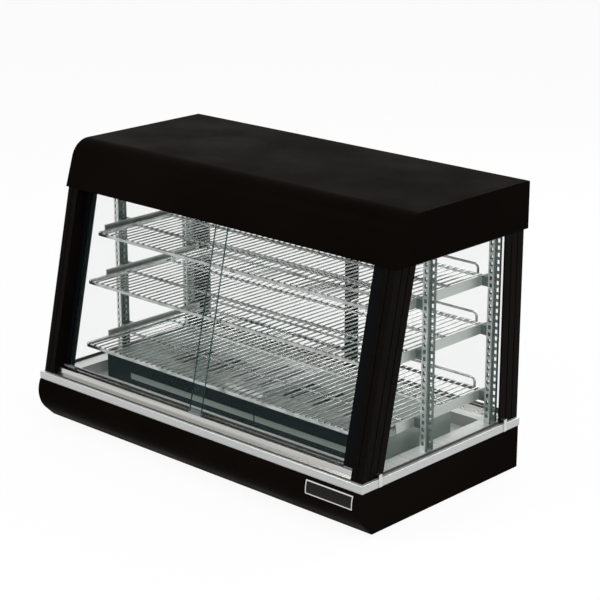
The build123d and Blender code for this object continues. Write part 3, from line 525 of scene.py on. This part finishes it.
# Canopy: one sheet bent over two end plates, the same black enamel as the base, with a
# bright lining under it and the lamp in its bay.
dress(enamel, "canopy_shell", "canopy_end_left", "canopy_end_right")
lining_steel = brushed(
    "lining_steel",
    (0.6, 0.6, 0.59),
    (0.78, 0.78, 0.76),
    (4, 500, 500),
    0.18,
    0.3,
)
dress(lining_steel, "lining_plate")
lamp_ceramic, ceramic_shader = new_finish("lamp_ceramic", (0.72, 0.71, 0.67), 0.35)
vary_colour(
    lamp_ceramic,
    ceramic_shader,
    grain(lamp_ceramic, (50, 50, 50)),
    (0.66, 0.65, 0.6),
    (0.76, 0.75, 0.71),
)
relief(lamp_ceramic, ceramic_shader, grain(lamp_ceramic, (500, 500, 500)), 0.00004, 0.25)
dress(lamp_ceramic, "lamp_sockets")
frosted, frosted_shader = new_finish("frosted_tube", (0.86, 0.85, 0.8), 0.3)
vary_colour(
    frosted,
    frosted_shader,
    grain(frosted, (12, 60, 60)),
    (0.8, 0.79, 0.74),
    (0.88, 0.87, 0.83),
)
vary_roughness(frosted, frosted_shader, grain(frosted, (80, 80, 80)), 0.24, 0.36)
dress(frosted, "lamp_tube")

# Thermostat: a moulded black knob on its shaft, its pointer groove filled white, over a
# dial ring with division marks.
knob_low, knob_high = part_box("thermostat_knob")
knob_x = (knob_low.x + knob_high.x) / 2
knob_z = (knob_low.z + knob_high.z) / 2
pointer_half = 0.0015
pointer_cut = 0.0006
pointer_start = 0.002
pointer_floor = knob_high.y - pointer_cut
pointer_depth = 0.0008
pointer_back = pointer_floor - pointer_depth
knob_plastic, knob_shader = new_finish("knob_plastic", (0.014, 0.014, 0.014), 0.42)
groove = calculate(
    knob_plastic,
    "MULTIPLY",
    calculate(
        knob_plastic,
        "MULTIPLY",
        between(knob_plastic, "X", knob_x - pointer_half, knob_x + pointer_half),
        between(knob_plastic, "Y", pointer_back, pointer_floor),
    ),
    past(knob_plastic, "Z", knob_z + pointer_start),
)
vary_colour(knob_plastic, knob_shader, groove, (0.014, 0.014, 0.014), (0.7, 0.7, 0.68))
vary_roughness(knob_plastic, knob_shader, grain(knob_plastic, (300, 300, 300)), 0.35, 0.5)
relief(knob_plastic, knob_shader, grain(knob_plastic, (1200, 1200, 1200)), 0.00005, 0.3)
dress(knob_plastic, "thermostat_knob", "thermostat_body")

panel_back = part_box("base_rear_panel")[1].y
dial_radius = 0.029
dial_bore = 0.0045
dial_thick = 0.0004
dial_marks = 24.0
mark_cut = 0.86
mark_length = 0.0055
mark_start = dial_radius - mark_length
bpy.ops.mesh.primitive_circle_add(
    vertices=96,
    radius=dial_radius,
    fill_type="NGON",
    location=(knob_x, panel_back, knob_z),
    rotation=(math.radians(-90), 0, 0),
)
dial = bpy.context.object
dial.name = "thermostat_dial"
bpy.ops.object.transform_apply(location=True, rotation=True, scale=True)
bpy.ops.object.mode_set(mode="EDIT")
bpy.ops.mesh.select_all(action="SELECT")
bpy.ops.mesh.inset(thickness=dial_radius - dial_bore, depth=0.0)
bpy.ops.mesh.delete(type="FACE")
bpy.ops.mesh.select_all(action="SELECT")
bpy.ops.mesh.extrude_region_move(TRANSFORM_OT_translate={"value": (0.0, dial_thick, 0.0)})
bpy.ops.mesh.select_all(action="SELECT")
bpy.ops.mesh.normals_make_consistent(inside=False)
bpy.ops.object.mode_set(mode="OBJECT")
dial_print, dial_shader = new_finish("dial_print", (0.02, 0.02, 0.02), 0.35)
aside = calculate(dial_print, "SUBTRACT", coordinate(dial_print, "X"), knob_x)
above = calculate(dial_print, "SUBTRACT", coordinate(dial_print, "Z"), knob_z)
turn = calculate(dial_print, "ARCTAN2", above, aside)
ripple = calculate(dial_print, "COSINE", calculate(dial_print, "MULTIPLY", turn, dial_marks))
mark = calculate(dial_print, "GREATER_THAN", ripple, mark_cut)
reach = calculate(
    dial_print,
    "SQRT",
    calculate(
        dial_print,
        "ADD",
        calculate(dial_print, "POWER", aside, 2.0),
        calculate(dial_print, "POWER", above, 2.0),
    ),
)
on_edge = calculate(dial_print, "GREATER_THAN", reach, mark_start)
printed = calculate(dial_print, "MULTIPLY", mark, on_edge)
vary_colour(dial_print, dial_shader, printed, (0.02, 0.02, 0.02), (0.75, 0.75, 0.73))
vary_roughness(dial_print, dial_shader, grain(dial_print, (200, 200, 200)), 0.28, 0.4)
dial.data.materials.append(dial_print)
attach(dial, "case")
bpy.ops.object.select_all(action="DESELECT")

# Switches, cord bush and screws: black moulded bezels with red rockers, a black nylon
# nut, and domed stainless screws round the edge of the back panel.
moulded, moulded_shader = new_finish("moulded_black", (0.013, 0.013, 0.013), 0.45)
vary_roughness(moulded, moulded_shader, grain(moulded, (250, 250, 250)), 0.38, 0.55)
relief(moulded, moulded_shader, grain(moulded, (1100, 1100, 1100)), 0.00006, 0.35)
dress(moulded, "switch_housings", "cord_gland")
rocker_red, rocker_shader = new_finish("rocker_red", (0.42, 0.018, 0.012), 0.16)
vary_colour(
    rocker_red,
    rocker_shader,
    grain(rocker_red, (60, 60, 60)),
    (0.36, 0.014, 0.01),
    (0.46, 0.022, 0.015),
)
vary_roughness(rocker_red, rocker_shader, grain(rocker_red, (120, 120, 120)), 0.12, 0.22)
dress(rocker_red, "power_switch", "light_switch")
screw_steel = brushed(
    "screw_steel",
    (0.45, 0.45, 0.44),
    (0.66, 0.66, 0.65),
    (500, 500, 500),
    0.2,
    0.32,
)
dress(screw_steel, "rear_panel_screws")

# Studio: a white floor and surround, three soft lamps and the camera that matches the
# photo. The floor shows white and keeps a light shadow under the case.
floor_size = 30.0
floor_white = 0.92
sky_seen_strength = 1.0
sky_light_strength = 0.55
bpy.ops.mesh.primitive_plane_add(size=floor_size, location=(0.0, 0.0, 0.0))
floor = bpy.context.object
floor.name = "floor"
floor_paint = bpy.data.materials.new("floor_paint")
floor_paint.use_nodes = True
floor_nodes, floor_links = floor_paint.node_tree.nodes, floor_paint.node_tree.links
floor_nodes.clear()
floor_out = floor_nodes.new("ShaderNodeOutputMaterial")
floor_mix = floor_nodes.new("ShaderNodeMixShader")
floor_matt = floor_nodes.new("ShaderNodeBsdfDiffuse")
floor_matt.inputs["Color"].default_value = (0.9, 0.9, 0.9, 1.0)
floor_glow = floor_nodes.new("ShaderNodeEmission")
floor_rays = floor_nodes.new("ShaderNodeLightPath")
floor_seen = floor_nodes.new("ShaderNodeMath")
floor_seen.operation = "MAXIMUM"
floor_share = floor_nodes.new("ShaderNodeMath")
floor_share.operation = "MULTIPLY"
floor_share.inputs[1].default_value = floor_white
floor_links.new(floor_rays.outputs["Is Camera Ray"], floor_seen.inputs[0])
floor_links.new(floor_rays.outputs["Is Glossy Ray"], floor_seen.inputs[1])
floor_links.new(floor_seen.outputs["Value"], floor_share.inputs[0])
floor_links.new(floor_share.outputs["Value"], floor_mix.inputs["Fac"])
floor_links.new(floor_matt.outputs["BSDF"], floor_mix.inputs[1])
floor_links.new(floor_glow.outputs["Emission"], floor_mix.inputs[2])
floor_links.new(floor_mix.outputs["Shader"], floor_out.inputs["Surface"])
floor.data.materials.append(floor_paint)

surround = bpy.data.worlds.new("surround")
bpy.context.scene.world = surround
surround.use_nodes = True
sky_nodes, sky_links = surround.node_tree.nodes, surround.node_tree.links
sky_nodes.clear()
sky_out = sky_nodes.new("ShaderNodeOutputWorld")
sky_mix = sky_nodes.new("ShaderNodeMixShader")
sky_seen = sky_nodes.new("ShaderNodeBackground")
sky_seen.inputs["Strength"].default_value = sky_seen_strength
sky_light = sky_nodes.new("ShaderNodeBackground")
sky_light.inputs["Strength"].default_value = sky_light_strength
for background in (sky_seen, sky_light):
    background.inputs["Color"].default_value = (1.0, 1.0, 1.0, 1.0)
sky_rays = sky_nodes.new("ShaderNodeLightPath")
first_seen = sky_nodes.new("ShaderNodeMath")
first_seen.operation = "MAXIMUM"
all_seen = sky_nodes.new("ShaderNodeMath")
all_seen.operation = "MAXIMUM"
sky_links.new(sky_rays.outputs["Is Camera Ray"], first_seen.inputs[0])
sky_links.new(sky_rays.outputs["Is Glossy Ray"], first_seen.inputs[1])
sky_links.new(first_seen.outputs["Value"], all_seen.inputs[0])
sky_links.new(sky_rays.outputs["Is Transmission Ray"], all_seen.inputs[1])
sky_links.new(all_seen.outputs["Value"], sky_mix.inputs["Fac"])
sky_links.new(sky_light.outputs["Background"], sky_mix.inputs[1])
sky_links.new(sky_seen.outputs["Background"], sky_mix.inputs[2])
sky_links.new(sky_mix.outputs["Shader"], sky_out.inputs["Surface"])

lamp_aim_height = 0.3
for name, place, power, size in (
    ("lamp_front", (-1.4, -2.8, 2.4), 70.0, 1.6),
    ("lamp_side", (2.8, -0.6, 1.7), 38.0, 1.4),
    ("lamp_back", (0.4, 2.2, 2.4), 40.0, 1.8),
):
    light = bpy.data.lights.new(name, "AREA")
    light.energy = power
    light.size = size
    lamp = bpy.data.objects.new(name, light)
    bpy.context.scene.collection.objects.link(lamp)
    lamp.location = place
    lamp.rotation_euler = (
        math.atan2(math.hypot(place[0], place[1]), place[2] - lamp_aim_height),
        0.0,
        math.atan2(place[0], -place[1]),
    )

camera_lens = 111.05
camera_sensor = 36.0
camera_reach = 100.0
camera_data = bpy.data.cameras.new("camera")
camera_data.lens = camera_lens
camera_data.sensor_width = camera_sensor
camera_data.clip_end = camera_reach
camera = bpy.data.objects.new("camera", camera_data)
bpy.context.scene.collection.objects.link(camera)
camera_place = (2.4526, -2.5498, 1.4357)
camera_aim = (0.0743, 0.0010, 0.3281)
camera.location = camera_place
to_left = camera_place[0] - camera_aim[0]
to_front = camera_aim[1] - camera_place[1]
drop = camera_place[2] - camera_aim[2]
camera.rotation_euler = (
    math.atan2(math.hypot(to_left, to_front), drop),
    0.0,
    math.atan2(to_left, to_front),
)
bpy.context.scene.camera = camera
bpy.context.scene.view_settings.view_transform = "Standard"

bpy.context.view_layer.update()
